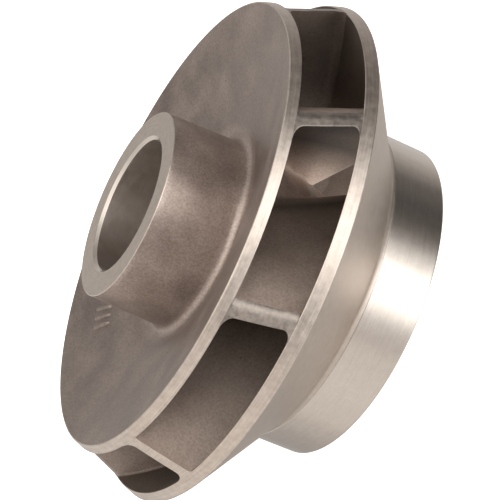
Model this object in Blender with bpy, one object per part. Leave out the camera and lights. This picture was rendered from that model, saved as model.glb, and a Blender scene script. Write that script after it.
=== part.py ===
"""Closed mixed-flow pump impeller, in metres, with +Z along the shaft towards the hub end.

The origin is the centre of the eye ring's flat end, so the impeller stands on its suction eye
with the hub boss up. Every wall is a surface turned about the Z axis, and the vanes are swept
between the two wall surfaces of the water passage.
"""

import math

import bmesh
import bpy

# Driving dimensions of the hub, its bore and the whole height.
HEIGHT = 0.0832
BORE_RADIUS = 0.022
BORE_CHAMFER = 0.0010
HUB_RADIUS = 0.0310
HUB_DRAFT = math.radians(1.7)
HUB_EDGE_CHAMFER = 0.0006
SLEEVE_INSET = 0.0023
SLEEVE_RUN = 0.0006
SLEEVE_NOSE = 0.0010

# Driving dimensions of the back shroud, the dished plate that carries the hub boss.
BACK_RADIUS = 0.075
BACK_EDGE_DROP = 0.0145
BACK_DISH = math.radians(14.6)
BACK_WALL = 0.0037
BACK_WALL_TAPER = math.radians(4.0)
BACK_TURN_RADIUS = 0.020

# Driving dimensions of the outlet, the eye and the front shroud.
OUTLET_WIDTH = 0.0188
OUTLET_FLARE = math.radians(20.6)
FRONT_SLOPE = math.radians(38.0)
FRONT_WALL = 0.0043
FRONT_TURN_RADIUS = 0.014
RING_RADIUS = 0.053
RING_WALL = 0.0055
RING_FILLET = 0.0028
RING_EDGE_CHAMFER = 0.0005

# Driving dimensions of the vanes. A vane angle is measured from the circumferential direction, and
# the taper and the round are shares of the vane's length.
VANE_COUNT = 8
VANE_FIRST = math.radians(32.8)
VANE_LEAN = math.radians(3.3)
VANE_ANGLE_OUT = math.radians(40.0)
VANE_ANGLE_IN = math.radians(45.5)
VANE_NOSE_SWEEP = math.radians(12.9)
VANE_TIP_WALL = 0.0030
VANE_WALL = 0.0036
VANE_NOSE_WALL = 0.0010
VANE_TIP_TAPER = 0.2
VANE_NOSE_ROUND = 0.1
VANE_RUN_BACK = 0.0080
VANE_RUN_FRONT = 0.0031

# The clearance between neighbouring solids, and how finely round shapes are divided.
GAP = 0.0003
PLATE_SIDES = 96
HUB_SIDES = 72
TURN_STEPS = 8
VANE_STEPS = 22
VANE_ROWS = 5
SHARP_EDGE = math.radians(28.0)
MERGE_DISTANCE = 1e-6
METAL_SHARE = 0.8


def turn_arc(upright_radius, turn_radius, line_point, line_angle):
    """Points of the arc that joins an upright wall to a sloping one, from the upright's end up."""
    centre_radius = upright_radius + turn_radius
    line_height = line_point[1] + math.tan(line_angle) * (centre_radius - line_point[0])
    centre_height = line_height - turn_radius / math.cos(line_angle)
    points = []
    for step in range(TURN_STEPS + 1):
        angle = math.pi - (math.pi / 2 - line_angle) * step / TURN_STEPS
        points.append(
            (centre_radius + turn_radius * math.cos(angle), centre_height + turn_radius * math.sin(angle))
        )
    return points


# Heights and corners that follow from the driving dimensions, as (radius, height).
back_edge_height = HEIGHT - BACK_EDGE_DROP
back_rim_outer = (BACK_RADIUS, back_edge_height)
flare = (math.sin(OUTLET_FLARE), -math.cos(OUTLET_FLARE))
back_rim_inner = (BACK_RADIUS + BACK_WALL * flare[0], back_edge_height + BACK_WALL * flare[1])
front_rim_inner = (
    back_rim_inner[0] + OUTLET_WIDTH * flare[0],
    back_rim_inner[1] + OUTLET_WIDTH * flare[1],
)
front_rim_outer = (
    front_rim_inner[0] + FRONT_WALL * flare[0],
    front_rim_inner[1] + FRONT_WALL * flare[1],
)
sleeve_radius = HUB_RADIUS - SLEEVE_INSET
eye_radius = RING_RADIUS - RING_WALL
ring_turn = turn_arc(RING_RADIUS, RING_FILLET, front_rim_outer, FRONT_SLOPE)
ring_top = ring_turn[0][1]
back_turn = turn_arc(sleeve_radius, BACK_TURN_RADIUS, back_rim_inner, BACK_DISH + BACK_WALL_TAPER)
front_turn = turn_arc(eye_radius, FRONT_TURN_RADIUS, front_rim_inner, FRONT_SLOPE)
back_nose = (sleeve_radius, back_turn[0][1] - VANE_RUN_BACK)
front_nose = (eye_radius, front_turn[0][1] - VANE_RUN_FRONT)
sleeve_end = back_nose[1] - SLEEVE_RUN


def hub_outside(height):
    """Radius of the boss at a height: a straight side with moulding draft."""
    return HUB_RADIUS + math.tan(HUB_DRAFT) * (HEIGHT - height)


def back_face(radius):
    """Height of the back shroud's outer face at a radius."""
    return back_edge_height - math.tan(BACK_DISH) * (BACK_RADIUS - radius)


def height_on(points, radius):
    """Height of a rising polyline at a radius."""
    for low, high in zip(points, points[1:]):
        if low[0] <= radius <= high[0]:
            return low[1] + (high[1] - low[1]) * (radius - low[0]) / (high[0] - low[0])
    raise ValueError("radius outside the polyline")


def radius_on(points, height):
    """Radius of a rising polyline at a height."""
    for low, high in zip(points, points[1:]):
        if low[1] <= height <= high[1]:
            return low[0] + (high[0] - low[0]) * (height - low[1]) / (high[1] - low[1])
    return points[0][0]


def material(name, colour, roughness):
    """A plain metal with one colour and one roughness."""
    made = bpy.data.materials.new(name)
    made.use_nodes = True
    shader = made.node_tree.nodes["Principled BSDF"]
    shader.inputs["Base Color"].default_value = (*colour, 1.0)
    shader.inputs["Metallic"].default_value = METAL_SHARE
    shader.inputs["Roughness"].default_value = roughness
    return made


def add_object(name, bm, finish):
    """Turns a bmesh into a named object with one material and smooth round faces."""
    bmesh.ops.recalc_face_normals(bm, faces=bm.faces)
    mesh = bpy.data.meshes.new(name)
    bm.to_mesh(mesh)
    bm.free()
    mesh.materials.append(finish)
    mesh.shade_smooth()
    mesh.set_sharp_from_angle(angle=SHARP_EDGE)
    made = bpy.data.objects.new(name, mesh)
    bpy.context.scene.collection.objects.link(made)
    return made


def turned(name, outline, sides, finish):
    """A closed ring: the closed outline of (radius, height) points spun about the Z axis."""
    bm = bmesh.new()
    points = [bm.verts.new((radius, 0.0, height)) for radius, height in outline]
    edges = [bm.edges.new((points[i - 1], points[i])) for i in range(len(points))]
    bmesh.ops.spin(
        bm,
        geom=points + edges,
        cent=(0.0, 0.0, 0.0),
        axis=(0.0, 0.0, 1.0),
        angle=math.tau,
        steps=sides,
        use_merge=True,
    )
    bmesh.ops.remove_doubles(bm, verts=bm.verts, dist=MERGE_DISTANCE)
    return add_object(name, bm, finish)


def hub():
    """The boss and the sleeve below it, one tube that runs down the middle of the impeller."""
    shroud_bottom = height_on(back_turn, hub_outside(back_face(HUB_RADIUS)))
    inside = [point for point in back_turn if point[1] < shroud_bottom]
    outline = [
        (BORE_RADIUS, sleeve_end + BORE_CHAMFER),
        (BORE_RADIUS, HEIGHT - BORE_CHAMFER),
        (BORE_RADIUS + BORE_CHAMFER, HEIGHT),
        (HUB_RADIUS - HUB_EDGE_CHAMFER, HEIGHT),
        (hub_outside(HEIGHT - HUB_EDGE_CHAMFER), HEIGHT - HUB_EDGE_CHAMFER),
        (hub_outside(back_face(HUB_RADIUS)), back_face(HUB_RADIUS)),
        (hub_outside(back_face(HUB_RADIUS)), shroud_bottom),
    ]
    outline += reversed(inside)
    outline += [
        (sleeve_radius, sleeve_end + SLEEVE_NOSE),
        (sleeve_radius - SLEEVE_NOSE, sleeve_end),
        (BORE_RADIUS + BORE_CHAMFER, sleeve_end),
    ]
    return turned("hub", outline, HUB_SIDES, cast_steel)


def back_shroud():
    """The dished plate round the hub, thicker towards the hub where it turns into the sleeve."""
    inner_radius = hub_outside(back_face(HUB_RADIUS)) + GAP
    inner_height = height_on(back_turn, inner_radius)
    outline = [(inner_radius, back_face(inner_radius)), (inner_radius, inner_height)]
    outline += [point for point in back_turn if point[0] > inner_radius]
    outline += [back_rim_inner, back_rim_outer]
    return turned("back_shroud", outline, PLATE_SIDES, cast_steel)


def front_shroud():
    """The steeper conical plate that closes the vanes on the suction side."""
    seat = ring_top + GAP
    outline = [
        (radius_on(front_turn, seat), seat),
        (radius_on(ring_turn, seat), seat),
    ]
    outline += [point for point in ring_turn if point[1] > seat]
    outline += [front_rim_outer, front_rim_inner]
    outline += [point for point in reversed(front_turn) if point[1] > seat]
    return turned("front_shroud", outline, PLATE_SIDES, cast_steel)


def eye_ring():
    """The turned ring round the suction eye, which runs in the casing's wear ring."""
    outline = [
        (eye_radius + RING_EDGE_CHAMFER, 0.0),
        (RING_RADIUS - RING_EDGE_CHAMFER, 0.0),
        (RING_RADIUS, RING_EDGE_CHAMFER),
        (RING_RADIUS, ring_top),
        (radius_on(front_turn, ring_top), ring_top),
    ]
    outline += [point for point in reversed(front_turn) if point[1] < ring_top]
    outline.append((eye_radius, RING_EDGE_CHAMFER))
    return turned("eye_ring", outline, PLATE_SIDES, machined_steel)


def along(points, share):
    """The point at a share of a polyline's length, and the unit direction there."""
    pairs = list(zip(points, points[1:]))
    left = share * sum(math.dist(start, end) for start, end in pairs)
    while len(pairs) > 1 and left > math.dist(*pairs[0]):
        left -= math.dist(*pairs.pop(0))
    start, end = pairs[0]
    length = math.dist(start, end)
    direction = ((end[0] - start[0]) / length, (end[1] - start[1]) / length)
    return (start[0] + direction[0] * left, start[1] + direction[1] * left), direction


def passage_section(share):
    """The two ends of a vane's section, on the back wall and the front wall, each a gap away."""
    back_point, back_way = along([back_rim_inner, *reversed(back_turn), back_nose], share)
    front_point, front_way = along([front_rim_inner, *reversed(front_turn), front_nose], share)
    back_end = (back_point[0] - GAP * back_way[1], back_point[1] + GAP * back_way[0])
    front_end = (front_point[0] + GAP * front_way[1], front_point[1] - GAP * front_way[0])
    return back_end, front_end


def vane_angle(share):
    """Angle of the vane from the circumferential direction, from its tip (0) to its nose (1)."""
    return VANE_ANGLE_OUT + (VANE_ANGLE_IN - VANE_ANGLE_OUT) * share


def vane_wall(share):
    """Wall of the vane: thin at the tip, full in the middle, rounded off at the nose."""
    swell = VANE_TIP_WALL + (VANE_WALL - VANE_TIP_WALL) * min(1.0, share / VANE_TIP_TAPER)
    into_nose = max(0.0, (share - 1.0 + VANE_NOSE_ROUND) / VANE_NOSE_ROUND)
    return VANE_NOSE_WALL + (swell - VANE_NOSE_WALL) * math.sqrt(max(0.0, 1.0 - into_nose**2))


def vane_sections():
    """For each step from tip (0) to nose (1): its share, ends, turn so far, angle and wall."""
    sections = []
    turn = 0.0
    last = None
    for step in range(VANE_STEPS + 1):
        share = step / VANE_STEPS
        ends = passage_section(share)
        middle = ((ends[0][0] + ends[1][0]) / 2, (ends[0][1] + ends[1][1]) / 2)
        if last:
            radius = (middle[0] + last[0]) / 2
            turn += math.dist(middle, last) / (radius * math.tan(vane_angle(share - 0.5 / VANE_STEPS)))
        last = middle
        sections.append((share, ends, turn, vane_angle(share), vane_wall(share)))
    return sections


def vane(number, sections):
    """One vane: two curved sides a wall apart, closed at the tip, the nose and both edges."""
    bm = bmesh.new()
    start = VANE_FIRST - math.tau * number / VANE_COUNT
    sides = []
    for side in (1, -1):
        grid = []
        for reach, ends, turn, angle, wall in sections:
            row = []
            for step in range(VANE_ROWS + 1):
                share = step / VANE_ROWS
                radius = ends[0][0] + (ends[1][0] - ends[0][0]) * share
                height = ends[0][1] + (ends[1][1] - ends[0][1]) * share
                lean = VANE_LEAN * share - VANE_NOSE_SWEEP * share * reach
                place = start + turn + lean + side * wall / (2 * radius * math.sin(angle))
                row.append(bm.verts.new((radius * math.cos(place), radius * math.sin(place), height)))
            grid.append(row)
        sides.append(grid)
    for grid in sides:
        for row, following in zip(grid, grid[1:]):
            for i in range(VANE_ROWS):
                bm.faces.new((row[i], row[i + 1], following[i + 1], following[i]))
    for edge in (0, -1):
        for i in range(VANE_STEPS):
            rims = [sides[0][i][edge], sides[0][i + 1][edge], sides[1][i + 1][edge], sides[1][i][edge]]
            bm.faces.new(rims)
        for i in range(VANE_ROWS):
            rims = [sides[0][edge][i], sides[0][edge][i + 1], sides[1][edge][i + 1], sides[1][edge][i]]
            bm.faces.new(rims)
    return add_object(f"vane_{number + 1}", bm, cast_steel)


for old in list(bpy.data.objects):
    bpy.data.objects.remove(old)

cast_steel = material("cast stainless steel", (0.33, 0.28, 0.24), 0.5)
machined_steel = material("turned stainless steel", (0.55, 0.51, 0.46), 0.28)

hub()
back_shroud()
front_shroud()
eye_ring()
blade_sections = vane_sections()
for vane_number in range(VANE_COUNT):
    vane(vane_number, blade_sections)
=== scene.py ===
"""A pump impeller, finished: skins, metals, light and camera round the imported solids."""

# %% [markdown]
# # A cast and machined pump impeller
# This notebook dresses the solids of a closed pump impeller so that they look like the real
# thing: one stainless steel casting whose rims, vane tips, hub face, bore and eye ring have
# been cut on a lathe. The solids stay as they are for the physics. Here each of them is replaced
# by a finer skin in the same place.
#
# The frame comes first, because every skin is drawn in its coordinates: metres, with +Z up the
# shaft from the suction eye to the hub.

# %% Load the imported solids
import math

import bpy
from mathutils import Matrix, Vector, noise


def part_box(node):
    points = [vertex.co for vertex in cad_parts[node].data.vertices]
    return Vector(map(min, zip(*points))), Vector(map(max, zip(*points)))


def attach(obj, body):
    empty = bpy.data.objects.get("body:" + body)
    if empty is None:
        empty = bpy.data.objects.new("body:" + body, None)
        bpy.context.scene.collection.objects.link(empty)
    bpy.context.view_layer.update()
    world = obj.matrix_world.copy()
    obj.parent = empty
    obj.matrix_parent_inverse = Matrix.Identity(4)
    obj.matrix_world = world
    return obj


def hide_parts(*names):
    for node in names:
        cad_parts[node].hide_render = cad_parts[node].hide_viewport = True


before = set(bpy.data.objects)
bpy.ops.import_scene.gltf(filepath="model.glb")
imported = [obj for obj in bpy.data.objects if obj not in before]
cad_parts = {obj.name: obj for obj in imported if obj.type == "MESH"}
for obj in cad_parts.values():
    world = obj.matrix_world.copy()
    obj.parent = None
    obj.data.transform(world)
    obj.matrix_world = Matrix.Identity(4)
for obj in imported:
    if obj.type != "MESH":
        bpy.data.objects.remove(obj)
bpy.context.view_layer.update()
print("solids:", sorted(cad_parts))

# %% [markdown]
# ## The sizes of the casting
# Nearly every surface of an impeller is turned about the shaft, so a handful of radii, heights
# and slopes say it all. They are the sizes that the solids were made with. From them come the
# two walls of the water passage, the back wall and the front wall, as lines of (radius, height):
# a long slope that swings through an arc into an upright.

# %% Sizes of the impeller
MM = 0.001
HEIGHT = 83.2 * MM
BORE_RADIUS = 22.0 * MM
BORE_CHAMFER = 1.0 * MM
HUB_RADIUS = 31.0 * MM
HUB_DRAFT = math.radians(1.7)
SLEEVE_RADIUS = 28.7 * MM
BACK_RADIUS = 75.0 * MM
BACK_EDGE_DROP = 14.5 * MM
BACK_DISH = math.radians(14.6)
BACK_WALL = 3.7 * MM
BACK_INNER_SLOPE = math.radians(18.6)
BACK_TURN_RADIUS = 20.0 * MM
OUTLET_WIDTH = 18.8 * MM
OUTLET_FLARE = math.radians(20.6)
FRONT_SLOPE = math.radians(38.0)
FRONT_WALL = 4.3 * MM
FRONT_TURN_RADIUS = 14.0 * MM
RING_RADIUS = 53.0 * MM
EYE_RADIUS = 47.5 * MM
RING_FILLET = 2.8 * MM
TURN_STEPS = 24


def turn_arc(upright_radius, turn_radius, line_point, line_angle):
    """Points of the arc that joins an upright wall to a sloping one, from the upright's end up."""
    centre_radius = upright_radius + turn_radius
    line_height = line_point[1] + math.tan(line_angle) * (centre_radius - line_point[0])
    centre_height = line_height - turn_radius / math.cos(line_angle)
    swing = math.pi / 2 - line_angle
    angles = [math.pi - swing * step / TURN_STEPS for step in range(TURN_STEPS + 1)]
    return [
        (
            centre_radius + turn_radius * math.cos(angle),
            centre_height + turn_radius * math.sin(angle),
        )
        for angle in angles
    ]


def further(point, length):
    """The point a length along the outlet's slanting line, from the hub side to the eye side."""
    return (point[0] + length * math.sin(OUTLET_FLARE), point[1] - length * math.cos(OUTLET_FLARE))


back_rim_outer = (BACK_RADIUS, HEIGHT - BACK_EDGE_DROP)
back_rim_inner = further(back_rim_outer, BACK_WALL)
front_rim_inner = further(back_rim_inner, OUTLET_WIDTH)
front_rim_outer = further(front_rim_inner, FRONT_WALL)
back_turn = turn_arc(SLEEVE_RADIUS, BACK_TURN_RADIUS, back_rim_inner, BACK_INNER_SLOPE)
front_turn = turn_arc(EYE_RADIUS, FRONT_TURN_RADIUS, front_rim_inner, FRONT_SLOPE)
ring_turn = turn_arc(RING_RADIUS, RING_FILLET, front_rim_outer, FRONT_SLOPE)
ring_top = ring_turn[0][1]
sleeve_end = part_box("hub")[0][2]
print("widest radius", round(front_rim_outer[0] / MM, 2), "mm")

# %% [markdown]
# ## Helpers for materials
# A colour picked from a screen is in sRGB, and a shader wants linear light, so one function
# turns a hex code into what the shader needs. Another adds a node together with its settings
# and its links, which keeps a whole material readable from top to bottom. A third fills a colour
# ramp from a list.


# %% Colour and node helpers
def linear(hex_colour):
    """A hex sRGB colour as linear red, green, blue and alpha."""
    shares = [int(hex_colour[place : place + 2], 16) / 255 for place in (1, 3, 5)]
    return [s / 12.92 if s <= 0.04045 else ((s + 0.055) / 1.055) ** 2.4 for s in shares] + [1.0]


def add_node(tree, kind, settings=None, values=None, links=None):
    """Adds a node, sets its properties and its sockets, and links outputs into its sockets."""
    node = tree.nodes.new(kind)
    for name, value in (settings or {}).items():
        setattr(node, name, value)
    for socket, value in (values or {}).items():
        node.inputs[socket].default_value = value
    for socket, source in (links or {}).items():
        tree.links.new(source, node.inputs[socket])
    return node


def set_stops(ramp, stops):
    """Gives a colour ramp its stops: (position from 0 to 1, hex colour)."""
    while len(ramp.elements) < len(stops):
        ramp.elements.new(0.5)
    for element, (position, colour) in zip(ramp.elements, stops):
        element.position = position
        element.color = linear(colour)


def new_surface(name, metal_share):
    """A material with its share of bare metal, from 0 to 1, its node tree and its shader."""
    made = bpy.data.materials.new(name)
    made.use_nodes = True
    shader = made.node_tree.nodes["Principled BSDF"]
    shader.inputs["Metallic"].default_value = metal_share
    return made, made.node_tree, shader


print("mid grey in linear light:", round(linear("#808080")[0], 3))

# %% [markdown]
# ## The casting's own skin
# Stainless steel poured in a sand or shell mould and then blasted keeps a satin, faintly grainy
# skin. To the eye it is a warm grey-brown that changes slowly over a centimetre or two, with a
# fine grain that breaks up every highlight, and here and there a pinhole where gas was trapped.
# Blasting can't reach far into the water passages. There the skin stays darker and browner, and
# duller, because a thin film of oxide lies on the metal. On top of that one colour ramp over the
# radius paints light and shade into each skin: shade deep in the passages, deepest inside the
# front shroud near the rim, and light near the sleeve, towards the outlet and on the boss and its
# fillet, so the back face is a shade darker than the boss. Its stops were tuned until the render's
# tones met the photograph's.
#
# An image texture could show this, but it would have to be wrapped round every passage. Noise in
# object coordinates runs through the whole casting like grain through wood, so it needs no
# unwrapping and no seam shows. The real grain is about 0.2 mm, too fine for this picture, so it
# is drawn three to four times as coarse.

# %% A cast skin
CAST_PATCH = 16 * MM
CAST_GRAIN = 0.7 * MM
PINHOLE_SPACING = 9 * MM
WIDEST = 90 * MM


def from_shaft(tree, place, scale):
    """The place flattened across the shaft and scaled, and how far out from the shaft it is."""
    flat = add_node(
        tree,
        "ShaderNodeVectorMath",
        settings={"operation": "MULTIPLY"},
        values={1: (scale, scale, 0.0)},
        links={0: place},
    ).outputs[0]
    length = add_node(
        tree, "ShaderNodeVectorMath", settings={"operation": "LENGTH"}, links={0: flat}
    )
    return flat, length.outputs["Value"]


def cast_metal(name, metal_share, dark, light, smooth, coarse, reach):
    """A cast skin: how metallic, two tones, a roughness range, and painted light and shade at some
    radii.
    """
    made, tree, shader = new_surface(name, metal_share)
    place = add_node(tree, "ShaderNodeTexCoord").outputs["Object"]
    outward = from_shaft(tree, place, 1 / WIDEST)[1]
    # The ramp over the radius is painted light and shade, not a tone of the metal.
    shade = add_node(tree, "ShaderNodeValToRGB", links={"Fac": outward})
    set_stops(shade.color_ramp, [(radius / WIDEST, colour) for radius, colour in reach])
    patches = add_node(
        tree,
        "ShaderNodeTexNoise",
        values={"Scale": 1 / CAST_PATCH, "Detail": 4.0, "Roughness": 0.6},
        links={"Vector": place},
    )
    grain = add_node(
        tree,
        "ShaderNodeTexNoise",
        values={"Scale": 1 / CAST_GRAIN, "Detail": 3.0, "Roughness": 0.65},
        links={"Vector": place},
    )
    tones = add_node(tree, "ShaderNodeValToRGB", links={"Fac": patches.outputs["Fac"]})
    set_stops(tones.color_ramp, [(0.32, dark), (0.70, light)])
    speckle = add_node(tree, "ShaderNodeValToRGB", links={"Fac": grain.outputs["Fac"]})
    set_stops(speckle.color_ramp, [(0.30, "#dad5d1"), (0.62, "#ffffff")])
    pinholes = add_node(
        tree,
        "ShaderNodeTexVoronoi",
        settings={"feature": "F1"},
        values={"Scale": 1 / PINHOLE_SPACING, "Randomness": 1.0},
        links={"Vector": place},
    )
    hole = add_node(
        tree,
        "ShaderNodeMapRange",
        values={"From Min": 0.02, "From Max": 0.05, "To Min": 0.5, "To Max": 1.0},
        links={"Value": pinholes.outputs["Distance"]},
    )
    colour = tones.outputs["Color"]
    for layer in (speckle.outputs["Color"], shade.outputs["Color"], hole.outputs["Result"]):
        darkened = add_node(
            tree,
            "ShaderNodeMix",
            settings={"data_type": "RGBA", "blend_type": "MULTIPLY"},
            values={"Factor": 1.0},
            links={"A": colour, "B": layer},
        )
        colour = darkened.outputs["Result"]
    satin = add_node(
        tree,
        "ShaderNodeMapRange",
        values={"From Min": 0.3, "From Max": 0.7, "To Min": smooth, "To Max": coarse},
        links={"Value": patches.outputs["Fac"]},
    )
    grain_bump = add_node(
        tree,
        "ShaderNodeBump",
        values={"Strength": 0.3, "Distance": 0.04 * MM},
        links={"Height": grain.outputs["Fac"]},
    )
    hole_bump = add_node(
        tree,
        "ShaderNodeBump",
        values={"Strength": 0.5, "Distance": 0.2 * MM},
        links={"Height": hole.outputs["Result"], "Normal": grain_bump.outputs["Normal"]},
    )
    tree.links.new(colour, shader.inputs["Base Color"])
    tree.links.new(satin.outputs["Result"], shader.inputs["Roughness"])
    tree.links.new(hole_bump.outputs["Normal"], shader.inputs["Normal"])
    return made


print("patches", round(CAST_PATCH / MM), "mm across, grain", round(CAST_GRAIN / MM, 1), "mm")

# %% [markdown]
# Three skins come from it. The blasted one is mostly bare metal, so it answers the light with a
# soft sheen, and its ramp paints light on the boss and its fillet. The other two are one oxide film
# that hides most of the metal and looks dull and brown. Their ramps paint shade deep in the
# passages, deeper inside the front shroud near the rim, and light near the sleeve and the outlet.

# %% Cast stainless steel: blasted, and with an oxide film, under ramps of painted light and shade
# Painted light: the boss and its fillet are palest, and the back face is darker.
BLAST_PAINTED_LIGHT = [
    (30.0 * MM, "#f8f8f8"),
    (33.0 * MM, "#ececec"),
    (35.5 * MM, "#eaeaea"),
    (38.0 * MM, "#cecece"),
]
# Painted light at the sleeve and towards the outlet, and painted shade deep in the passages.
PASSAGE_PAINTED_SHADE_AND_LIGHT = [
    (31 * MM, "#ffffff"),
    (37 * MM, "#bcb8b4"),
    (44 * MM, "#6e6a66"),
    (49 * MM, "#88847f"),
    (61 * MM, "#76726e"),
    (77 * MM, "#979593"),
]
# Deeper painted shade inside the front shroud near the rim.
INSIDE_PAINTED_SHADE = [*PASSAGE_PAINTED_SHADE_AND_LIGHT[:-2], (61 * MM, "#76726e"), (75 * MM, "#65625f")]

blasted_steel = cast_metal(
    "cast stainless steel, blasted", 0.8, "#a4968e", "#c6b7ae", 0.35, 0.47, BLAST_PAINTED_LIGHT
)
passage_steel = cast_metal(
    "cast stainless steel, oxide film, painted shade and light", 0.22, "#d6bfb1", "#ffecde", 0.55, 0.66, PASSAGE_PAINTED_SHADE_AND_LIGHT
)
inside_steel = cast_metal(
    "cast stainless steel, oxide film, deeper painted shade", 0.22, "#d6bfb1", "#ffecde", 0.55, 0.66, INSIDE_PAINTED_SHADE
)
print("made", blasted_steel.name, "and", passage_steel.name, "and", inside_steel.name)

# %% [markdown]
# ## Lathe-cut steel
# A lathe tool leaves a fine spiral groove, so a turned face shines in a fan and shows faint
# rings. The rings are the same at every angle and change quickly from one radius or height to
# the next. A 4D noise gives just that: the radius and the height go in at full scale, and the
# direction round the shaft goes in slowly, as a point on a small circle, so that there is no
# seam behind. Real grooves are about 0.1 mm apart, too fine for this picture, so they are drawn
# four times as coarse.
#
# Bare machined steel is all metal, so how smooth it is decides whether it shows a sharp
# highlight or a broad pale glow.

# %% A lathe-cut surface
GROOVE = 0.4 * MM
BLOTCH = 2.6 * MM
MARKS_ROUND = 5.0


def turned_metal(name, metal_share, dark, light, smooth, coarse, depth, mottle):
    """A lathe-cut metal: two tones, a roughness range, how deep its grooves look, its blotches."""
    made, tree, shader = new_surface(name, metal_share)
    place = add_node(tree, "ShaderNodeTexCoord").outputs["Object"]
    flat, across = from_shaft(tree, place, 1.0)
    around = add_node(
        tree, "ShaderNodeVectorMath", settings={"operation": "NORMALIZE"}, links={0: flat}
    )
    slow = add_node(
        tree,
        "ShaderNodeVectorMath",
        settings={"operation": "SCALE"},
        values={"Scale": MARKS_ROUND},
        links={0: around.outputs[0]},
    )
    up = add_node(
        tree,
        "ShaderNodeVectorMath",
        settings={"operation": "MULTIPLY"},
        values={1: (0.0, 0.0, 1 / GROOVE)},
        links={0: place},
    )
    where = add_node(
        tree,
        "ShaderNodeVectorMath",
        settings={"operation": "ADD"},
        links={0: slow.outputs[0], 1: up.outputs[0]},
    )
    outward = add_node(
        tree,
        "ShaderNodeMath",
        settings={"operation": "DIVIDE"},
        values={1: GROOVE},
        links={0: across},
    )
    grooves = add_node(
        tree,
        "ShaderNodeTexNoise",
        settings={"noise_dimensions": "4D"},
        values={"Scale": 1.0, "Detail": 2.0, "Roughness": 0.6},
        links={"Vector": where.outputs[0], "W": outward.outputs[0]},
    )
    blotches = add_node(
        tree,
        "ShaderNodeTexNoise",
        values={"Scale": 1 / BLOTCH, "Detail": 5.0, "Roughness": 0.75},
        links={"Vector": place},
    )
    worn = add_node(
        tree,
        "ShaderNodeMix",
        settings={"data_type": "FLOAT"},
        values={"Factor": mottle},
        links={"A": grooves.outputs["Fac"], "B": blotches.outputs["Fac"]},
    )
    tones = add_node(tree, "ShaderNodeValToRGB", links={"Fac": worn.outputs["Result"]})
    set_stops(tones.color_ramp, [(0.30, dark), (0.66, light)])
    sheen = add_node(
        tree,
        "ShaderNodeMapRange",
        values={"From Min": 0.3, "From Max": 0.7, "To Min": smooth, "To Max": coarse},
        links={"Value": worn.outputs["Result"]},
    )
    bump = add_node(
        tree,
        "ShaderNodeBump",
        values={"Strength": 0.35, "Distance": depth},
        links={"Height": grooves.outputs["Fac"]},
    )
    tree.links.new(tones.outputs["Color"], shader.inputs["Base Color"])
    tree.links.new(sheen.outputs["Result"], shader.inputs["Roughness"])
    tree.links.new(bump.outputs["Normal"], shader.inputs["Normal"])
    return made


print("grooves", round(GROOVE / MM, 1), "mm apart, blotches", round(BLOTCH / MM, 1), "mm across")

# %% [markdown]
# Six finishes come from it:
# - matt cut, on the rims, the hub face and two vane tips: pale and even, with faint rings
# - satin, on the front shroud's cone: the same glow with shallower grooves, and very even
# - fine cut, on the eye ring and the chamfer of the bore: a sharp bright highlight
# - bored, inside the hub: satin, with soft bands of light along the hole
# - ground, on the other vane tips: darker, blotchy grey, with hardly a ring to see
# - painted highlight, on the land of the sleeve: a smooth, pale metal that hides most of its shine

# %% Machined stainless steel, six finishes
cut_steel = turned_metal(
    "turned stainless steel, matt cut", 1.0, "#a69a91", "#cec3b9", 0.28, 0.44, 0.02 * MM, 0.55
)
satin_steel = turned_metal(
    "turned stainless steel, satin", 1.0, "#ada298", "#bdb3a9", 0.36, 0.44, 0.006 * MM, 0.7
)
bright_steel = turned_metal(
    "turned stainless steel, fine cut", 1.0, "#bbb2a9", "#c6beb6", 0.16, 0.22, 0.004 * MM, 0.5
)
bored_steel = turned_metal(
    "bored stainless steel", 1.0, "#bab1a9", "#cbc2bb", 0.30, 0.44, 0.01 * MM, 0.6
)
ground_steel = turned_metal(
    "ground stainless steel", 1.0, "#78706a", "#a39a92", 0.34, 0.56, 0.03 * MM, 0.9
)
# The land's pale, dull metal is a painted highlight.
land_highlight_steel = turned_metal(
    "stainless steel land, painted highlight", 0.2, "#d8cfc4", "#eee6dc", 0.40, 0.50, 0.01 * MM, 0.6
)
turned = (cut_steel, satin_steel, bright_steel, bored_steel, ground_steel, land_highlight_steel)
print("made", ", ".join(made.name for made in turned))

# %% [markdown]
# ## Spinning a skin
# A turned surface is an outline swept round the shaft. Blender's Screw modifier or a spin can do
# it; here the points are written directly, because each stretch of the outline also says how it
# is finished, and because the cast stretches are not quite true: a casting's surface wanders by
# up to a tenth of a millimetre, which is what makes its highlights swim.
#
# No real edge is razor sharp. `rounded` turns a corner of an outline into an arc. Where the arc is
# small it puts a support point on each side, so that the flat faces beside it still shade flat.

# %% Outlines with rounded corners
CAST, INSIDE, PASSAGE, SATIN, CUT, BRIGHT, BORED, LAND_HIGHLIGHT = range(8)
METALS = [blasted_steel, inside_steel, passage_steel, satin_steel]
METALS += [cut_steel, bright_steel, bored_steel, land_highlight_steel]
SIDES = 256
EDGE_STEPS = 4
SUPPORT = 0.12 * MM
CAST_STEP = 1.6 * MM


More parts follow.
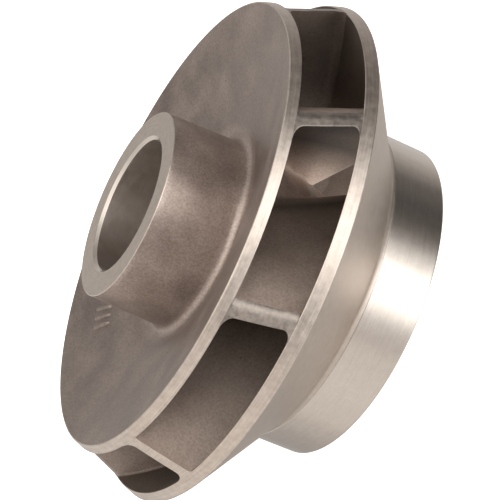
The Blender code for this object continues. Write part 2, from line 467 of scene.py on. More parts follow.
def rounded(corners):
    """A closed outline from corners (radius, height, rounding, finish of the stretch after it)."""
    outline = []
    for number, (radius, height, rounding, finish) in enumerate(corners):
        here = Vector((radius, height))
        before = Vector(corners[number - 1][:2])
        after = Vector(corners[(number + 1) % len(corners)][:2])
        if not rounding:
            outline.append((here, finish))
            continue
        back, on = (before - here).normalized(), (after - here).normalized()
        half = back.angle(on) / 2
        cut = rounding / math.tan(half)
        centre = here + (back + on).normalized() * rounding / math.sin(half)
        spoke = here + back * cut - centre
        edge_finish = max(finish, corners[number - 1][3])
        turn = (math.pi - 2 * half) * (1 if spoke.cross(here + on * cut - centre) > 0 else -1)
        steps = max(EDGE_STEPS, round(abs(turn) * rounding / CAST_STEP))
        if rounding < CAST_STEP:
            outline.append((here + back * (cut + SUPPORT), corners[number - 1][3]))
        for step in range(steps + 1):
            swung = Matrix.Rotation(turn * step / steps, 2) @ spoke
            outline.append((centre + swung, edge_finish if step < steps else finish))
        if rounding < CAST_STEP:
            outline.append((here + on * (cut + SUPPORT), finish))
    return outline


print("a rounded corner takes at least", EDGE_STEPS, "faces")

# %% [markdown]
# The outline is then swept round the shaft. Only the cast stretches are cut into short steps,
# because only they need points to stray with: the turned ones are straight and true.

# %% Sweeping an outline round the shaft
WANDER = 0.07 * MM
BROAD_WAVE = 11 * MM
FINE_WAVE = 3.5 * MM
FINE_SHARE = 0.45
FINE_SHIFT = Vector((7, 3, 5))
SHARP_EDGE = math.radians(32)


def divided(outline):
    """The outline with its long cast stretches cut into short ones."""
    points = []
    for number, (point, finish) in enumerate(outline):
        after = outline[(number + 1) % len(outline)][0]
        pieces = max(1, round((after - point).length / CAST_STEP)) if finish <= PASSAGE else 1
        points += [(point.lerp(after, piece / pieces), finish) for piece in range(pieces)]
    return points


def wander(point):
    """How far a cast surface strays from true at a point."""
    broad = noise.noise(point / BROAD_WAVE)
    fine = noise.noise(point / FINE_WAVE + FINE_SHIFT)
    return WANDER * (broad + FINE_SHARE * fine)


def placed(radius, height, angle):
    """The point at a radius and a height, at an angle round the shaft."""
    return Vector((radius * math.cos(angle), radius * math.sin(angle), height))


def shown(name, mesh):
    """A smooth piece at the origin that carries the mesh, sharp only at its hard corners."""
    mesh.shade_smooth()
    mesh.set_sharp_from_angle(angle=SHARP_EDGE)
    piece = bpy.data.objects.new(name, mesh)
    bpy.context.scene.collection.objects.link(piece)
    return piece


def add_piece(name, points, faces, finishes):
    """A piece made of points and faces, with the metal that each face is finished in."""
    mesh = bpy.data.meshes.new(name)
    mesh.from_pydata(points, [], faces)
    used = sorted(set(finishes))
    for finish in used:
        mesh.materials.append(METALS[finish])
    mesh.polygons.foreach_set("material_index", [used.index(finish) for finish in finishes])
    mesh.validate()
    return shown(name, mesh)


def spun(name, corners):
    """A closed skin turned about the shaft, its cast stretches straying a little from true."""
    outline = divided(rounded(corners))
    count = len(outline)
    area = sum(
        outline[i - 1][0].x * outline[i][0].y - outline[i][0].x * outline[i - 1][0].y
        for i in range(count)
    )
    if area < 0:
        outline = [(outline[-i][0], outline[-i - 1][1]) for i in range(count)]
    points, faces, finishes = [], [], []
    for side in range(SIDES):
        angle = math.tau * side / SIDES
        here, ahead = side * count, (side + 1) % SIDES * count
        for number, (point, finish) in enumerate(outline):
            place = placed(point.x, point.y, angle)
            if finish <= PASSAGE and outline[number - 1][1] == finish:
                along = outline[(number + 1) % count][0] - outline[number - 1][0]
                out = Vector((along.y, -along.x)).normalized()
                place += wander(place) * placed(out.x, out.y, angle)
            points.append(place)
            following = (number + 1) % count
            faces.append((here + number, ahead + number, ahead + following, here + following))
            finishes.append(finish)
    return add_piece(name, points, faces, finishes)


print("each turned skin has", SIDES, "sides round the shaft")

# %% [markdown]
# ## The hub
# The hub boss and the sleeve below it are one tube. Its bore and its end face are cut on the
# lathe, with a chamfer at the mouth, and its outside keeps the casting's draft and skin. Where
# the boss stands on the back shroud a small fillet runs all the way round. It catches the light
# as a pale crescent, and the blasted skin's ramp paints more light on it. The fillet belongs to
# this skin. The back face dips a little towards the boss, and the skins of hub and shroud butt
# along a circle just outside the fillet. On the sleeve a narrow land is given a pale metal, a
# painted highlight that shows as a bright bar deep in one passage.

# %% Hub, sleeve and bore
HUB_FILLET = 2.3 * MM
JOINT_REACH = 1.7
HUB_EDGE = 0.3 * MM
SMALL_EDGE = 0.25 * MM
DIP_RADIUS = 43.0 * MM
DIP_DEPTH = 1.9 * MM
DIP_STEPS = 6
SLEEVE_CORNER = 1.0 * MM
LAND_HIGH = 33.2 * MM
LAND_LOW = 29.7 * MM
LAND_STEP = 0.5 * MM


def hub_outside(height):
    """Radius of the boss at a height."""
    return HUB_RADIUS + math.tan(HUB_DRAFT) * (HEIGHT - height)


def back_face(radius):
    """Height of the back shroud's outer face at a radius, with the dip towards the boss."""
    into_dip = max(0.0, DIP_RADIUS - radius) / (DIP_RADIUS - HUB_RADIUS)
    face = back_rim_outer[1] - math.tan(BACK_DISH) * (BACK_RADIUS - radius)
    return face - DIP_DEPTH * into_dip**2


def reached(line, axis, value):
    """A line's height where it reaches a radius (axis 0), or its radius at a height (axis 1)."""
    other = 1 - axis
    return next(
        low[other] + (high[other] - low[other]) * (value - low[axis]) / (high[axis] - low[axis])
        for low, high in zip(line, line[1:])
        if high[axis] > value
    )


hub_foot = hub_outside(back_face(HUB_RADIUS))
joint_radius = hub_foot + JOINT_REACH * HUB_FILLET
joint_height = reached(back_turn, 0, joint_radius)
hub_corners = [
    (BORE_RADIUS, sleeve_end + BORE_CHAMFER, 0, BORED),
    (BORE_RADIUS, HEIGHT - BORE_CHAMFER, SMALL_EDGE, BRIGHT),
    (BORE_RADIUS + BORE_CHAMFER, HEIGHT, SMALL_EDGE, CUT),
    (HUB_RADIUS, HEIGHT, HUB_EDGE, CAST),
    (hub_foot, back_face(hub_foot), HUB_FILLET, CAST),
    (joint_radius, back_face(joint_radius), 0, PASSAGE),
    (joint_radius, joint_height, 0, PASSAGE),
]
hub_corners += [
    (radius, height, 0, PASSAGE)
    for radius, height in reversed(back_turn)
    if radius < joint_radius
]
hub_corners += [
    # The land: its pale metal is a painted highlight.
    (SLEEVE_RADIUS, LAND_HIGH, 0, LAND_HIGHLIGHT),
    (SLEEVE_RADIUS, LAND_LOW, SMALL_EDGE, LAND_HIGHLIGHT),
    (SLEEVE_RADIUS - LAND_STEP, LAND_LOW - LAND_STEP, 0, PASSAGE),
    (SLEEVE_RADIUS - LAND_STEP, sleeve_end, SLEEVE_CORNER, CUT),
    (BORE_RADIUS + BORE_CHAMFER, sleeve_end, 0, CUT),
]
hub_skin = spun("hub_casting", hub_corners)
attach(hub_skin, "root")
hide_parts("hub")
print("hub skin:", len(hub_skin.data.polygons), "faces")

# %% [markdown]
# ## The two shrouds
# The back shroud is a dished plate. It thickens towards the hub and swings down into the sleeve,
# so that the water turns gently from the eye to the vanes. The front shroud is a steeper cone.
# Both rims were cut in the same pass as the vane tips, along one slanting line, so each rim is a
# narrow band of cut metal. The front shroud's outside was turned as well, to a satin finish.

# %% Back and front shroud
RIM_EDGE = 0.5 * MM
DEBURR = 0.25 * MM

dip_width = DIP_RADIUS - joint_radius
dip_radii = [joint_radius + dip_width * step / DIP_STEPS for step in range(DIP_STEPS + 1)]
back_corners = [(radius, back_face(radius), 0, CAST) for radius in dip_radii]
back_corners += [
    (*back_rim_outer, RIM_EDGE, CUT),
    (*back_rim_inner, DEBURR, PASSAGE),
]
back_corners += [
    (radius, height, 0, PASSAGE)
    for radius, height in reversed(back_turn)
    if radius > joint_radius
]
back_corners.append((joint_radius, joint_height, 0, PASSAGE))
back_skin = spun("back_shroud_casting", back_corners)
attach(back_skin, "root")
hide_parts("back_shroud")

seat_radius = reached(front_turn, 1, ring_top)
front_corners = [(seat_radius, ring_top, 0, SATIN)]
front_corners += [(radius, height, 0, SATIN) for radius, height in ring_turn]
front_corners += [
    (*front_rim_outer, RIM_EDGE, CUT),
    (*front_rim_inner, DEBURR, INSIDE),
]
front_corners += [
    (radius, height, 0, INSIDE)
    for radius, height in reversed(front_turn)
    if height > ring_top
]
front_skin = spun("front_shroud_casting", front_corners)
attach(front_skin, "root")
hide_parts("front_shroud")
print("shroud skins:", len(back_skin.data.polygons), "and", len(front_skin.data.polygons), "faces")

# %% [markdown]
# ## The eye ring
# The suction end runs inside a wear ring with a gap of a few tenths, so it is turned to a fine
# finish. Its corner is barely broken. Its upper end steps in by a hair, which leaves a fine line
# where shroud and ring meet.

# %% Eye ring
RING_EDGE = 0.5 * MM
RING_STEP = 0.12 * MM

ring_corners = [
    (EYE_RADIUS, 0.0, RING_EDGE, BRIGHT),
    (RING_RADIUS, 0.0, RING_EDGE, BRIGHT),
    (RING_RADIUS, ring_top - 2 * RING_STEP, SMALL_EDGE / 2, BRIGHT),
    (RING_RADIUS - RING_STEP, ring_top - RING_STEP, 0, BRIGHT),
    (RING_RADIUS - RING_STEP, ring_top, 0, BRIGHT),
    (seat_radius, ring_top, 0, PASSAGE),
]
ring_corners += [
    (radius, height, 0, PASSAGE)
    for radius, height in reversed(front_turn)
    if height < ring_top
]
ring_skin = spun("eye_ring_turned", ring_corners)
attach(ring_skin, "root")
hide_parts("eye_ring")
print("ring skin:", len(ring_skin.data.polygons), "faces")

# %% [markdown]
# ## One vane
# A vane is a thin wall that starts at the eye, sweeps backwards as it goes out, and ends on the
# outlet cone. The rule for its shape is the angle that it makes with the circle at each radius,
# so its sections are found by walking inwards from the tip and turning by what that angle asks.
#
# In a casting it never meets a shroud at a bare corner: a fillet gives the passage its rounded
# corners, a full one on the hollow side and a small one on the bulging side. The rows of the
# mesh next to each wall follow a quarter circle for that, and the last row runs on into the
# wall, past the broken edge of the rim. Its tip was turned with the rims, so it lies on the same
# cone. The tip's edge on the hollow side is just broken, which shows as a thin bright line, and
# on the bulging side it is well rounded.

# %% Vane sizes
VANE_COUNT = 8
VANE_FIRST = math.radians(32.8)
VANE_LEAN = math.radians(3.3)
VANE_ANGLE_OUT = math.radians(40.0)
VANE_ANGLE_IN = math.radians(45.5)
VANE_NOSE_SWEEP = math.radians(12.9)
VANE_TIP_WALL = 3.0 * MM
VANE_WALL = 3.6 * MM
VANE_NOSE_WALL = 1.0 * MM
VANE_TIP_TAPER = 0.2
VANE_NOSE_ROUND = 0.1
VANE_RUN_BACK = 8.0 * MM
VANE_RUN_FRONT = 3.1 * MM
NOSE_FILLET = 0.35
VANE_STEPS = 72
FILLET_STEPS = 7
MIDDLE_STEPS = 8
TIP_STEPS = 6
SIDE_FILLETS = (0.8 * MM, 2.6 * MM)
TIP_ROUNDS = (1.3 * MM, 0.3 * MM)
TIP_ROUND_SHARES = (0.0, 0.04, 0.12, 0.23, 0.45, 0.7, 1.0)

back_wall = [
    back_rim_inner,
    *reversed(back_turn),
    (SLEEVE_RADIUS, back_turn[0][1] - VANE_RUN_BACK),
]
front_wall = [
    front_rim_inner,
    *reversed(front_turn),
    (EYE_RADIUS, front_turn[0][1] - VANE_RUN_FRONT),
]
print("each vane runs between walls of", len(back_wall), "and", len(front_wall), "points")

# %% [markdown]
# Small functions say how thick the vane is, how its rows lie from wall to wall, and what the
# rounded edges of the tip take off. Together they give one section of the vane.


# %% One section of the vane
def along(points, share):
    """The point at a share of a line's length."""
    pairs = [(Vector(start), Vector(end)) for start, end in zip(points, points[1:])]
    left = share * sum((end - start).length for start, end in pairs)
    while len(pairs) > 1 and left > (pairs[0][1] - pairs[0][0]).length:
        left -= (pairs[0][1] - pairs[0][0]).length
        pairs.pop(0)
    start, end = pairs[0]
    return start.lerp(end, left / (end - start).length)


def nose_shape(share):
    """1 along the vane, falling to 0 as a quarter ellipse over its nose."""
    into_nose = max(0.0, (share - 1.0 + VANE_NOSE_ROUND) / VANE_NOSE_ROUND)
    return math.sqrt(max(0.0, 1.0 - into_nose**2))


def vane_wall(share):
    """The vane's wall: thin at the tip, full in the middle, rounded off at the nose."""
    swell = VANE_TIP_WALL + (VANE_WALL - VANE_TIP_WALL) * min(1.0, share / VANE_TIP_TAPER)
    return VANE_NOSE_WALL + (swell - VANE_NOSE_WALL) * nose_shape(share)


def across_rows(length, fillet):
    """(distance from the back wall, extra half wall) of each row from wall to wall."""
    quarter = [math.pi / 2 * step / FILLET_STEPS for step in range(FILLET_STEPS + 1)]
    low = [(fillet * (1 - math.cos(a)), fillet * (1 - math.sin(a))) for a in quarter]
    middle = [
        (fillet + (length - 2 * fillet) * step / MIDDLE_STEPS, 0.0)
        for step in range(1, MIDDLE_STEPS)
    ]
    high = [(length - distance, extra) for distance, extra in reversed(low)]
    return [(-DEBURR, fillet), *low, *middle, *high, (length + DEBURR, fillet)]


def edge_loss(from_tip, rounding):
    """How much the rounded edge of the tip takes off one side, at a distance from the tip."""
    short_of = max(0.0, rounding - from_tip)
    return rounding - math.sqrt(rounding**2 - short_of**2)


def vane_section(share, turn, from_tip):
    """Both sides of the vane at a share of its length: rows of (radius, height, angle)."""
    back_end, front_end = along(back_wall, share), along(front_wall, share)
    length = (front_end - back_end).length
    angle = VANE_ANGLE_OUT + (VANE_ANGLE_IN - VANE_ANGLE_OUT) * share
    sides = []
    for side, fillet, rounding in zip((1, -1), SIDE_FILLETS, TIP_ROUNDS):
        fillet *= NOSE_FILLET + (1 - NOSE_FILLET) * nose_shape(share)
        rows = []
        for distance, extra in across_rows(length, fillet):
            point = back_end.lerp(front_end, distance / length)
            reach = distance / length
            lean = VANE_LEAN * reach - VANE_NOSE_SWEEP * reach * share
            half_wall = vane_wall(share) / 2 + extra - edge_loss(from_tip, rounding)
            swing = VANE_FIRST + turn + lean + side * half_wall / (point.x * math.sin(angle))
            rows.append((point.x, point.y, swing))
        sides.append(rows)
    return sides


print("the vane is", round(vane_wall(0.5) / MM, 2), "mm thick in its middle")

# %% [markdown]
# The walk starts at the tip. Its first steps are small, to draw the tip's rounded edge, and the
# rest are even.


# %% The vane's sections, from tip to nose
def walked_sections():
    """The vane's sections, each turned by what the vane's angle asks at its radius."""
    length_along = sum((Vector(b) - Vector(a)).length for a, b in zip(back_wall, back_wall[1:]))
    shares = [share * TIP_ROUNDS[0] / length_along for share in TIP_ROUND_SHARES]
    even = [step / VANE_STEPS for step in range(VANE_STEPS + 1)]
    shares += [share for share in even if share > shares[-1]]
    turn, last, sections = 0.0, None, []
    for share in shares:
        middle = (along(back_wall, share) + along(front_wall, share)) / 2
        if last:
            angle = VANE_ANGLE_OUT + (VANE_ANGLE_IN - VANE_ANGLE_OUT) * (share + last[1]) / 2
            turn += (middle - last[0]).length / ((middle.x + last[0].x) / 2 * math.tan(angle))
        last = (middle, share)
        sections.append(vane_section(share, turn, share * length_along))
    return sections


vane_sections = walked_sections()
print("sections along the vane:", len(vane_sections))

# %% [markdown]
# The mesh is two grids, one for each side, closed by four strips: along the two walls, at the
# nose, and at the tip. The tip is divided across its width as well, so that every point of it
# lies on the outlet cone and it runs on from the rims without a step. There are two patterns of
# the same shape. On one a grinder went over the rounded edge as well as the tip, and on the other
# the tip was only turned. They differ only in the faces that they mark as cut.


# %% One vane as a mesh
def vane_mesh(name, ground_over):
    """One vane at the first place, with its cut faces marked by a face attribute."""
    end = len(vane_sections) - 1
    row_count = len(vane_sections[0][0])
    broken_steps = len(TIP_ROUND_SHARES) // 2
    round_steps = len(TIP_ROUND_SHARES) - 1 if ground_over else broken_steps
    points, faces, cut, index = [], [], [], {}
    for step, sides in enumerate(vane_sections):
        for side, rows in enumerate(sides):
            for row, (radius, height, swing) in enumerate(rows):
                index[step, side, row] = len(points)
                place = placed(radius, height, swing)
                if step >= len(TIP_ROUND_SHARES) and 0 < row < row_count - 1:
                    outward = Vector((-math.sin(swing), math.cos(swing), 0)) * (1, -1)[side]
                    place += outward * wander(place)
                points.append(place)
    for step in range(end):
        for row in range(row_count - 1):
            for side in (0, 1):
                corners = ((step, row), (step, row + 1), (step + 1, row + 1), (step + 1, row))
                ring = [index[section, side, line] for section, line in corners]
                faces.append(ring if side == 0 else ring[::-1])
                cut.append(step < (round_steps if side == 0 else broken_steps))
        for row in (0, row_count - 1):
            corners = ((step, 0), (step + 1, 0), (step + 1, 1), (step, 1))
            ring = [index[section, side, row] for section, side in corners]
            faces.append(ring if row == 0 else ring[::-1])
            cut.append(False)
    for row in range(row_count - 1):
        faces.append(
            (index[end, 0, row], index[end, 0, row + 1], index[end, 1, row + 1], index[end, 1, row])
        )
        cut.append(False)
    grid = []
    for row in range(row_count):
        first, second = vane_sections[0][0][row], vane_sections[0][1][row]
        line = [index[0, 0, row]]
        for step in range(1, TIP_STEPS):
            radius, height, swing = (a + (b - a) * step / TIP_STEPS for a, b in zip(first, second))
            line.append(len(points))
            points.append(placed(radius, height, swing))
        grid.append([*line, index[0, 1, row]])
    for low, high in zip(grid, grid[1:]):
        for step in range(TIP_STEPS):
            faces.append((low[step], low[step + 1], high[step + 1], high[step]))
            cut.append(True)
    close_edge_strip(faces, cut, grid)
    made = bpy.data.meshes.new(name)
    made.from_pydata(points, [], faces)
    marks = made.attributes.new("lathe_cut", "BOOLEAN", "FACE")
    marks.data.foreach_set("value", cut)
    return made


def close_edge_strip(faces, cut, grid):
    """Replaces the wall strips' first faces, so that they meet the divided tip without a gap."""
    for line in (grid[0], grid[-1]):
        ends = {line[0], line[-1]}
        for number, face in enumerate(faces):
            if len(face) == 4 and ends < set(face) and not cut[number]:
                face = list(face)
                first = face.index(line[0])
                if face[(first + 1) % 4] == line[-1]:
                    faces[number] = face[: first + 1] + line[1:-1] + face[first + 1 :]
                else:
                    second = face.index(line[-1])
                    faces[number] = face[: second + 1] + line[-2:0:-1] + face[second + 1 :]
                break


ground_vane = vane_mesh("ground_vane_pattern", True)
turned_vane = vane_mesh("turned_vane_pattern", False)
print("one vane:", len(ground_vane.polygons), "faces")

# %% [markdown]
# ## Eight vanes from one shape
# The eight vanes have one shape, turned about the shaft. A Geometry Nodes tree does the turning:
# it puts copies of what comes in on points at the shaft, swings copy number n by n pitches, makes
# them real, and gives them their two metals. The cut faces are found by the attribute that the
# pattern carries. Each vane is made alone, so that it stays a piece with its own name.


# %% A Geometry Nodes tree for copies round the shaft
def round_the_shaft():
    """A tree with named inputs that swings copies of a mesh about the shaft."""
    tree = bpy.data.node_groups.new("Copies round the shaft", "GeometryNodeTree")
    tree.interface.new_socket("Geometry", in_out="INPUT", socket_type="NodeSocketGeometry")
    for name, kind in (
        ("Copies", "NodeSocketInt"),
        ("First turn", "NodeSocketFloat"),
        ("Pitch", "NodeSocketFloat"),
        ("Casting", "NodeSocketMaterial"),
        ("Lathe cut", "NodeSocketMaterial"),
    ):
        tree.interface.new_socket(name, in_out="INPUT", socket_type=kind)
    tree.interface.new_socket("Geometry", in_out="OUTPUT", socket_type="NodeSocketGeometry")
    given = add_node(tree, "NodeGroupInput").outputs
    points = add_node(tree, "GeometryNodePoints", links={"Count": given["Copies"]})
    number = add_node(tree, "GeometryNodeInputIndex")
    turn = add_node(
        tree,
        "ShaderNodeMath",
        settings={"operation": "MULTIPLY_ADD"},
        links={0: number.outputs[0], 1: given["Pitch"], 2: given["First turn"]},
    )
    spin = add_node(tree, "ShaderNodeCombineXYZ", links={"Z": turn.outputs[0]})
    swing = add_node(tree, "FunctionNodeEulerToRotation", links={"Euler": spin.outputs[0]})
    copies = add_node(
        tree,
        "GeometryNodeInstanceOnPoints",
        links={
            "Points": points.outputs[0],
            "Instance": given["Geometry"],
            "Rotation": swing.outputs[0],
        },
    )
    real = add_node(tree, "GeometryNodeRealizeInstances", links={"Geometry": copies.outputs[0]})
    cast = add_node(
        tree,
        "GeometryNodeSetMaterial",
        links={"Geometry": real.outputs[0], "Material": given["Casting"]},
    )
    marked = add_node(
        tree,
        "GeometryNodeInputNamedAttribute",
        settings={"data_type": "BOOLEAN"},
        values={"Name": "lathe_cut"},
    )
    cut = add_node(
        tree,
        "GeometryNodeSetMaterial",
        links={
            "Geometry": cast.outputs[0],
            "Selection": marked.outputs["Attribute"],
            "Material": given["Lathe cut"],
        },
    )
    add_node(tree, "NodeGroupOutput", links={"Geometry": cut.outputs[0]})
    return tree


shaft_copies = round_the_shaft()
print("nodes in the tree:", len(shaft_copies.nodes))

# %% [markdown]
# The tree's inputs are set by their identifiers before anything is evaluated. The result is
# copied into a plain mesh, and the carrier goes, together with its modifier. Vanes 3 and 6 keep
# tips that were only turned, and the grinder went over the others.

# %% Making the vanes
NOT_GROUND = (3, 6)


def copied(name, pattern, inputs):
    """A plain mesh object made from the pattern by the tree, with its inputs given by name."""
    carrier = bpy.data.objects.new(name + "_carrier", pattern)
    bpy.context.scene.collection.objects.link(carrier)
    modifier = carrier.modifiers.new("copies", "NODES")
    modifier.node_group = shaft_copies
    for socket in shaft_copies.interface.items_tree:
        if socket.in_out == "INPUT" and socket.name in inputs:
            modifier[socket.identifier] = inputs[socket.name]
    graph = bpy.context.evaluated_depsgraph_get()
    mesh = bpy.data.meshes.new_from_object(carrier.evaluated_get(graph), depsgraph=graph)
    bpy.data.objects.remove(carrier)
    if mesh.materials[0] is None:
        mesh.materials.pop(index=0)
    mesh.name = name
    return shown(name, mesh)


for number in range(VANE_COUNT):
    only_turned = number + 1 in NOT_GROUND
    vane_inputs = {
        "Copies": 1,
        "First turn": -math.tau * number / VANE_COUNT,
        "Casting": passage_steel,
        "Lathe cut": cut_steel if only_turned else ground_steel,
    }
    pattern = turned_vane if only_turned else ground_vane
    vane_skin = copied(f"vane_{number + 1}_casting", pattern, vane_inputs)
    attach(vane_skin, "root")
    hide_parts(f"vane_{number + 1}")
print("vanes made:", VANE_COUNT)

# %% [markdown]
# ## A raised mark on the back
# Foundries leave raised marks on the back shroud. Lettering has no place on a part for a
# library, so three plain raised bars stand there: soft pads, a little under a millimetre high,
# sunk a little into the dished face. The tree above repeats one bar at a small pitch.

# %% Three raised bars
BAR_COUNT = 3
BAR_LENGTH = 9.0 * MM
BAR_WIDTH = 2.2 * MM
BAR_HEIGHT = 1.1 * MM
BAR_SINK = 0.2
BAR_RADIUS = 55.5 * MM
BAR_TURN = math.radians(-140.8)
BAR_PITCH = math.radians(3.8)
BAR_SLANT = math.radians(-15.5)
BAR_CELLS = 20


def bar_mesh(name):
    """A soft pad on the back face: a grid whose height swells from its rim to its middle."""
    points, faces = [], []
    for i in range(BAR_CELLS + 1):
        for j in range(BAR_CELLS + 1):
            u, v = 2 * i / BAR_CELLS - 1, 2 * j / BAR_CELLS - 1
            dome = (1 - u**4) * (1 - v**2)
            out, aside = u * BAR_LENGTH / 2, v * BAR_WIDTH / 2
            slanted = Matrix.Rotation(BAR_SLANT, 2) @ Vector((out, aside))
            radius = BAR_RADIUS + slanted.x
            swing = BAR_TURN + slanted.y / BAR_RADIUS
            height = back_face(radius) + BAR_HEIGHT * (dome - BAR_SINK)
            points.append(placed(radius, height, swing))
    width = BAR_CELLS + 1
    for i in range(BAR_CELLS):
        for j in range(BAR_CELLS):
            corner = i * width + j
            faces.append((corner, corner + width, corner + width + 1, corner + 1))
    rim = [i * width for i in range(width)]
    rim += [BAR_CELLS * width + j for j in range(1, width)]
    rim += [i * width + BAR_CELLS for i in range(BAR_CELLS - 1, -1, -1)]
    rim += list(range(BAR_CELLS - 1, 0, -1))
    faces.append(rim[::-1])
    made = bpy.data.meshes.new(name)
    made.from_pydata(points, [], faces)
    return made


bar_inputs = {
    "Copies": BAR_COUNT,
    "First turn": 0.0,
    "Pitch": BAR_PITCH,
    "Casting": blasted_steel,
    "Lathe cut": blasted_steel,
}
bars = copied("raised_bars", bar_mesh("bar_pattern"), bar_inputs)
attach(bars, "root")
print("bars:", len(bars.data.polygons), "faces")

# %% [markdown]
# ## The floor
# The floor is a plain pale plane of studio paper, which glows a little so that it stays white at
# the edges of the picture. It is left out of reflections, bounced light and shadows, so that the
# metal shows the studio and not only the floor.

# %% Floor
FLOOR_SIZE = 12.0
PAPER_GLOW = 0.75

floor_mesh = bpy.data.meshes.new("floor")
half = FLOOR_SIZE / 2
floor_corners = [(-half, -half, 0), (half, -half, 0), (half, half, 0), (-half, half, 0)]
floor_mesh.from_pydata(floor_corners, [], [(0, 1, 2, 3)])
floor = bpy.data.objects.new("floor", floor_mesh)
bpy.context.scene.collection.objects.link(floor)
paper, _, paper_shader = new_surface("white studio paper", 0.0)
paper_shader.inputs["Base Color"].default_value = linear("#f7f6f4")
paper_shader.inputs["Roughness"].default_value = 0.9
paper_shader.inputs["Emission Color"].default_value = linear("#ffffff")
paper_shader.inputs["Emission Strength"].default_value = PAPER_GLOW
floor_mesh.materials.append(paper)
floor.visible_glossy = False
floor.visible_diffuse = False
floor.visible_shadow = False
print("floor:", FLOOR_SIZE, "m wide")

# %% [markdown]
# ## The studio
# The photograph is a studio shot on white. Seen as the picture stands, broad soft light comes
# from beside the camera, a dark stretch lies above, and the surroundings below and behind are
# paler. Bare metal shows its surroundings, so the light is a world painted by direction. Three
# lists of (degrees round the shaft, tone) give the light low down, level and overhead, and one
# plain tone each lies straight below and straight above. They pass softly into each other at the
# elevations given below them.

# %% Tones of the studio, by direction
LOW = [
    (-180, "#6e6b69"),
    (-150, "#6c6967"),
    (-126, "#787573"),
    (-110, "#878481"),
    (-90, "#989491"),
    (-60, "#9e9b98"),
    (-32, "#9a9693"),
    (-18, "#8c8987"),
    (-8, "#989695"),
    (3, "#cfcecd"),
    (10, "#fffefd"),
    (29, "#fffefd"),
    (37, "#c3c2c1"),
    (46, "#9b9b9a"),
    (54, "#686665"),
    (63, "#474543"),
    (72, "#393736"),
    (84, "#363534"),
    (94, "#434140"),
    (104, "#454342"),
    (114, "#615e5c"),
    (126, "#767371"),
    (140, "#85827f"),
    (156, "#827f7d"),
    (180, "#6e6b69"),
]
HORIZON = [
    (-180, "#7a7774"),
    (-165, "#8d8a87"),
    (-150, "#9b9794"),
    (-120, "#9c9996"),
    (-90, "#a09d99"),
    (-60, "#9f9b98"),
    (-42, "#989491"),
    (-30, "#7d7a78"),
    (-18, "#6e6c6a"),
    (-8, "#767574"),
    (2, "#989796"),
    (9, "#c6c5c4"),
    (17, "#f8f7f6"),
    (34, "#f8f7f6"),
    (42, "#d6d5d4"),
    (50, "#9b9a99"),
    (58, "#6c6a68"),
    (68, "#4a4847"),
    (84, "#3d3c3a"),
    (100, "#474543"),
    (112, "#5c5958"),
    (124, "#656361"),
    (140, "#767371"),
    (156, "#817e7b"),
    (180, "#7a7774"),
]
OVERHEAD = [
    (-180, "#5e5d5b"),
    (-145, "#7c7a78"),
    (-120, "#94928f"),
    (-80, "#a2a09d"),
    (-45, "#b1aeab"),
    (-8, "#d8d5d1"),
    (25, "#ede9e5"),
    (50, "#cfccc8"),
    (85, "#989693"),
    (120, "#787674"),
    (150, "#656362"),
    (180, "#5e5d5b"),
]
BELOW = "#9d9996"
ZENITH = "#c1bebb"
BELOW_FROM, BELOW_FULL = -56, -74
LOW_FROM, LOW_FULL = -4, -16
OVERHEAD_FROM, OVERHEAD_FULL = 24, 46
ZENITH_FROM, ZENITH_FULL = 58, 76
STUDIO_STRENGTH = 3.2
print("tones:", len(LOW), "low,", len(HORIZON), "level,", len(OVERHEAD), "overhead")

# %% [markdown]
# The world's node tree turns the direction of each ray into two angles. The angle round the shaft
# picks a tone from each list, and the elevation decides how the lists are blended.

# %% The world that lights the scene
world = bpy.data.worlds.new("studio")
world.use_nodes = True
bpy.context.scene.world = world
bpy.context.scene.view_settings.view_transform = "Standard"
tree = world.node_tree
background = tree.nodes["Background"]
direction = add_node(tree, "ShaderNodeTexCoord").outputs["Generated"]
parts = add_node(tree, "ShaderNodeSeparateXYZ", links={"Vector": direction})
azimuth = add_node(
    tree,
    "ShaderNodeMath",
    settings={"operation": "ARCTAN2"},
    links={0: parts.outputs["Y"], 1: parts.outputs["X"]},
)
elevation = add_node(
    tree,
    "ShaderNodeMath",
    settings={"operation": "ARCSINE"},
    links={0: parts.outputs["Z"]},
)


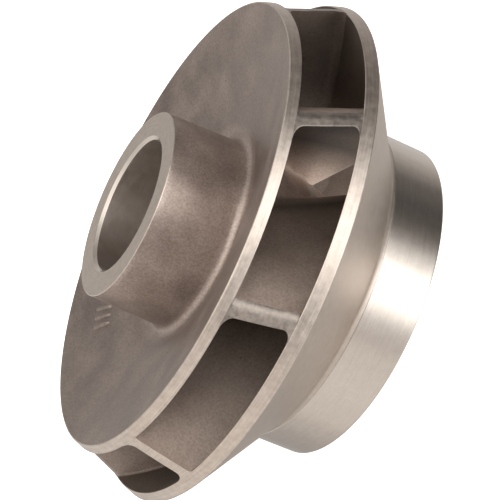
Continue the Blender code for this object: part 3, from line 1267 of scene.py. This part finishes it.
def studio_ramp(stops):
    """A colour ramp over the azimuth, from stops in degrees."""
    share = add_node(
        tree,
        "ShaderNodeMapRange",
        values={"From Min": -math.pi, "From Max": math.pi},
        links={"Value": azimuth.outputs[0]},
    )
    ramp = add_node(tree, "ShaderNodeValToRGB", links={"Fac": share.outputs["Result"]})
    ramp.color_ramp.interpolation = "EASE"
    set_stops(ramp.color_ramp, [((degrees + 180) / 360, colour) for degrees, colour in stops])
    return ramp.outputs["Color"]


def blended(start, end, near, far):
    """One light passing softly into another between two elevations in degrees."""
    share = add_node(
        tree,
        "ShaderNodeMapRange",
        settings={"interpolation_type": "SMOOTHSTEP"},
        values={"From Min": math.radians(start), "From Max": math.radians(end)},
        links={"Value": elevation.outputs[0]},
    )
    mix = add_node(
        tree,
        "ShaderNodeMix",
        settings={"data_type": "RGBA"},
        links={"Factor": share.outputs["Result"], "A": near, "B": far},
    )
    return mix.outputs["Result"]


light = blended(LOW_FROM, LOW_FULL, studio_ramp(HORIZON), studio_ramp(LOW))
light = blended(OVERHEAD_FROM, OVERHEAD_FULL, light, studio_ramp(OVERHEAD))
for start, end, tone in ((ZENITH_FROM, ZENITH_FULL, ZENITH), (BELOW_FROM, BELOW_FULL, BELOW)):
    plain = add_node(tree, "ShaderNodeRGB").outputs[0]
    plain.default_value = linear(tone)
    light = blended(start, end, light, plain)
tree.links.new(light, background.inputs["Color"])
background.inputs["Strength"].default_value = STUDIO_STRENGTH

print("studio light ready")

# %% [markdown]
# ## The camera
# The camera stands where the photographer's did: beyond the rim, about 20 degrees above the
# plane of the impeller, and rolled so that the shaft runs from upper left to lower right. Its
# place and turn were worked out from the ellipses that the rims, the bore and the ring draw.

# %% Camera
LENS_MM = 153.084
SENSOR_MM = 36.0
CAMERA_PLACE = Vector((0.63863, 0.00172, 0.27014))
CAMERA_RIGHT = Vector((0.31253, 0.39175, -0.86537))
CAMERA_UP = Vector((-0.13307, 0.92007, 0.36845))

camera_data = bpy.data.cameras.new("camera")
camera_data.lens = LENS_MM
camera_data.sensor_width = SENSOR_MM
camera = bpy.data.objects.new("camera", camera_data)
bpy.context.scene.collection.objects.link(camera)
turn = Matrix((CAMERA_RIGHT, CAMERA_UP, CAMERA_RIGHT.cross(CAMERA_UP))).transposed()
camera.matrix_world = Matrix.Translation(CAMERA_PLACE) @ turn.to_4x4()
bpy.context.scene.camera = camera
print("camera distance", round(camera.location.length, 3), "m")
